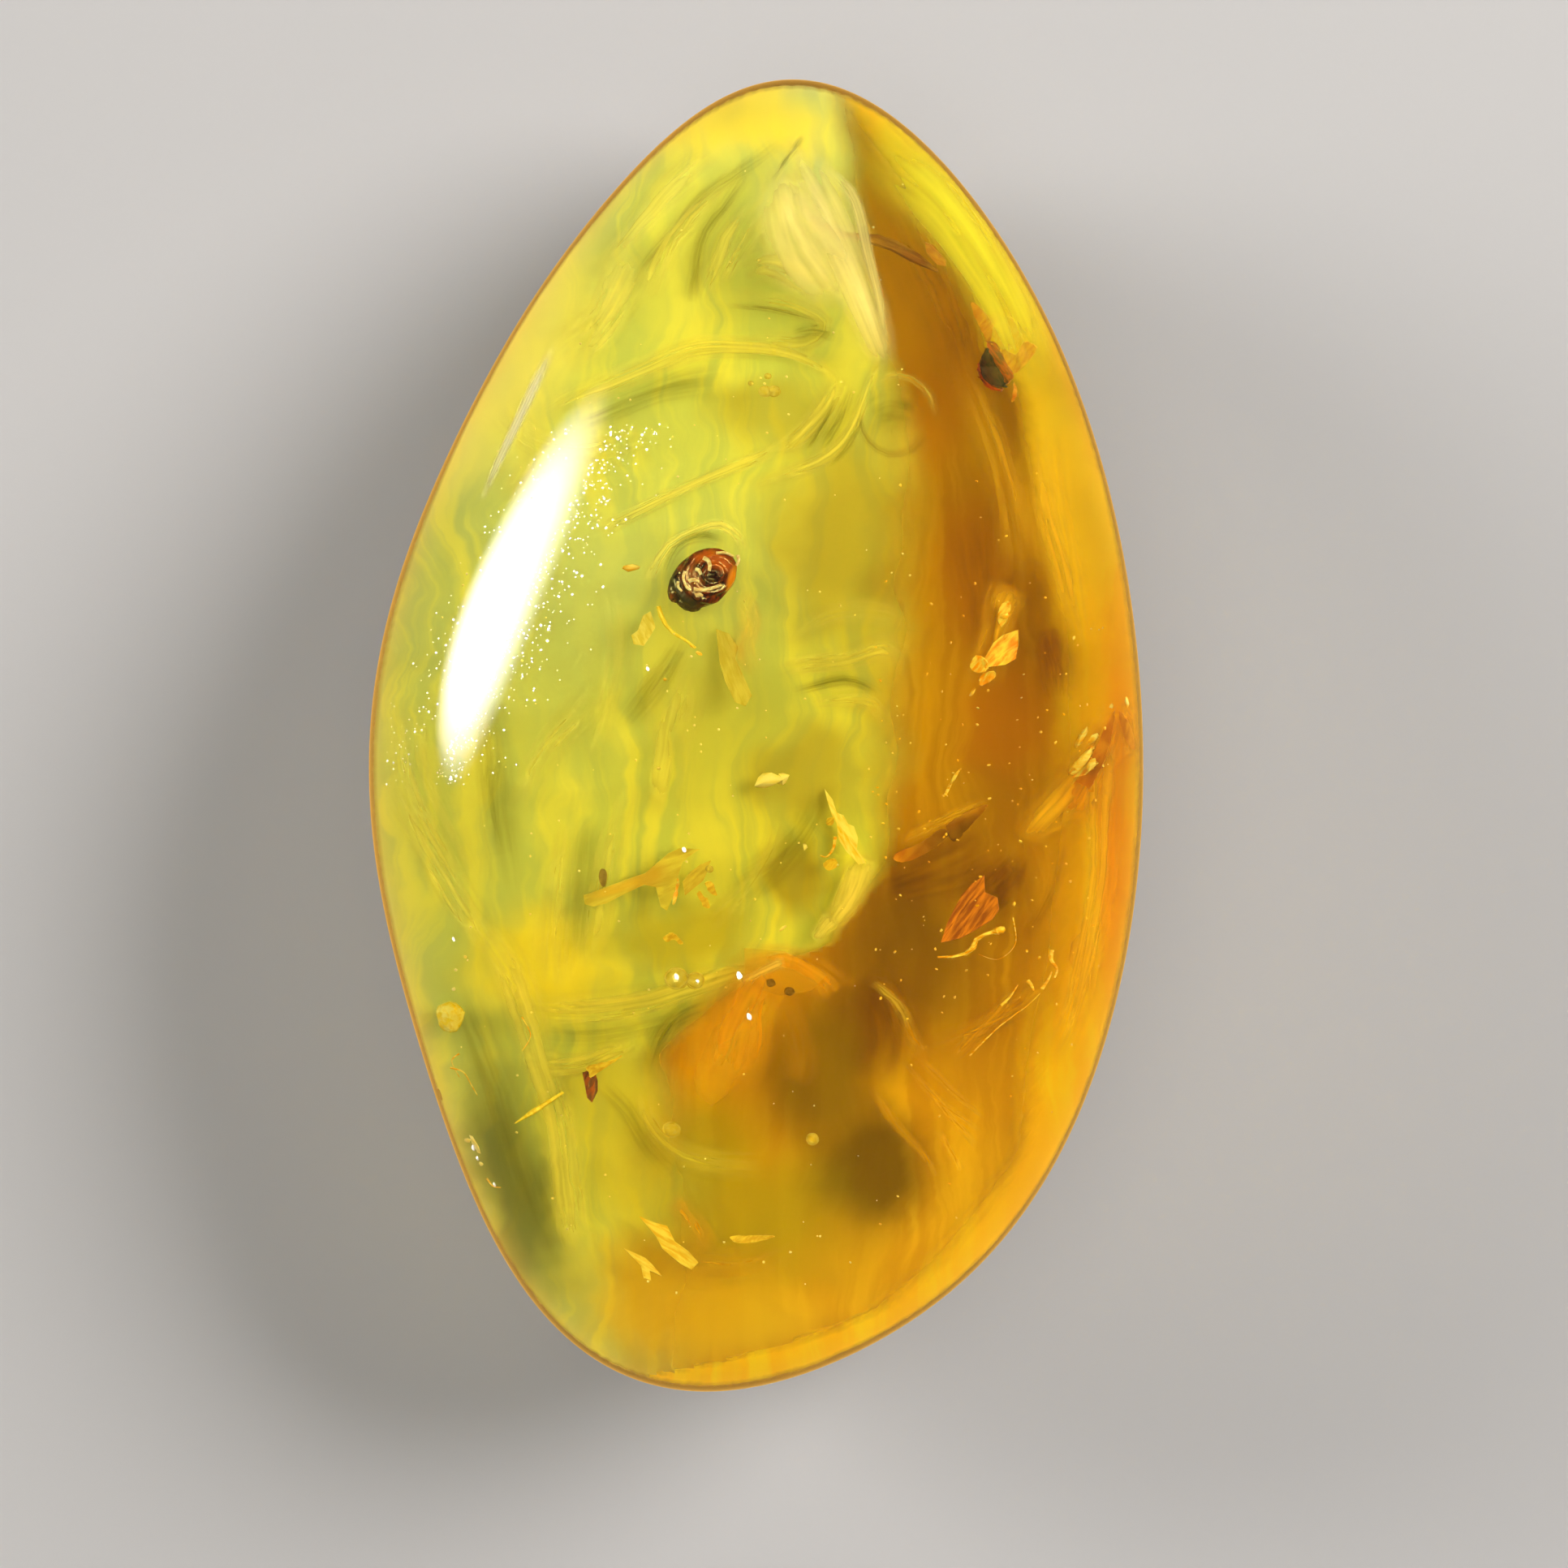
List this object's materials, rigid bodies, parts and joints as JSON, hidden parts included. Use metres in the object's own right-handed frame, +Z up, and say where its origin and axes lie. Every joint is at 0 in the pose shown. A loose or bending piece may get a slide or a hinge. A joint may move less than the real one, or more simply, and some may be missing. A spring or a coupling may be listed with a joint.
{
  "type": "polished amber",
  "caption": "Egg-shaped polished amber nugget on a flat base, partly cloudy, with a beetle, a winged insect and plant scraps sealed inside.",
  "frame": {"origin": "on the surface it rests on, under the middle of its outline", "axes": "+Y towards the narrow end, +X towards the clear orange side seen from above, +Z up out of the polished dome"},
  "size_m": [0.0295, 0.05, 0.018],
  "materials": {
    "clear_amber": "polished clear to cloudy yellow-orange amber, IOR 1.54",
    "beetle_shell": "glossy red-brown wing cases",
    "insect_husk": "dark brown husk with orange wings",
    "bark": "red-brown fibrous bark",
    "dry_leaf": "dry yellow-brown plant tissue",
    "pale_fibre": "pale yellow plant fibre",
    "gold_flake": "bright broken resin plates and threads",
    "resin_lump": "orange resin lumps"
  },
  "bodies": {
    "root": {"amber_upper": "clear_amber", "amber_lower": "clear_amber", "beetle": "beetle_shell", "winged_insect": "insect_husk", "twig": "bark", "orange_scale": "resin_lump", "leaf_shred": "dry_leaf", "leaf_blade": "dry_leaf", "pale_splinter": "pale_fibre", "bark_flake": "bark", "gold_thread": "gold_flake", "gold_flake": "gold_flake", "bright_splinter": "gold_flake", "resin_grain": "pale_fibre", "needle": "pale_fibre", "seed_chip": "bark", "resin_clot": "resin_lump", "clot_flake": "resin_lump", "yellow_strand": "pale_fibre", "pale_shred": "pale_fibre", "tan_band": "dry_leaf", "low_shred": "dry_leaf", "fork_shred": "dry_leaf"}
  },
  "joints": []
}
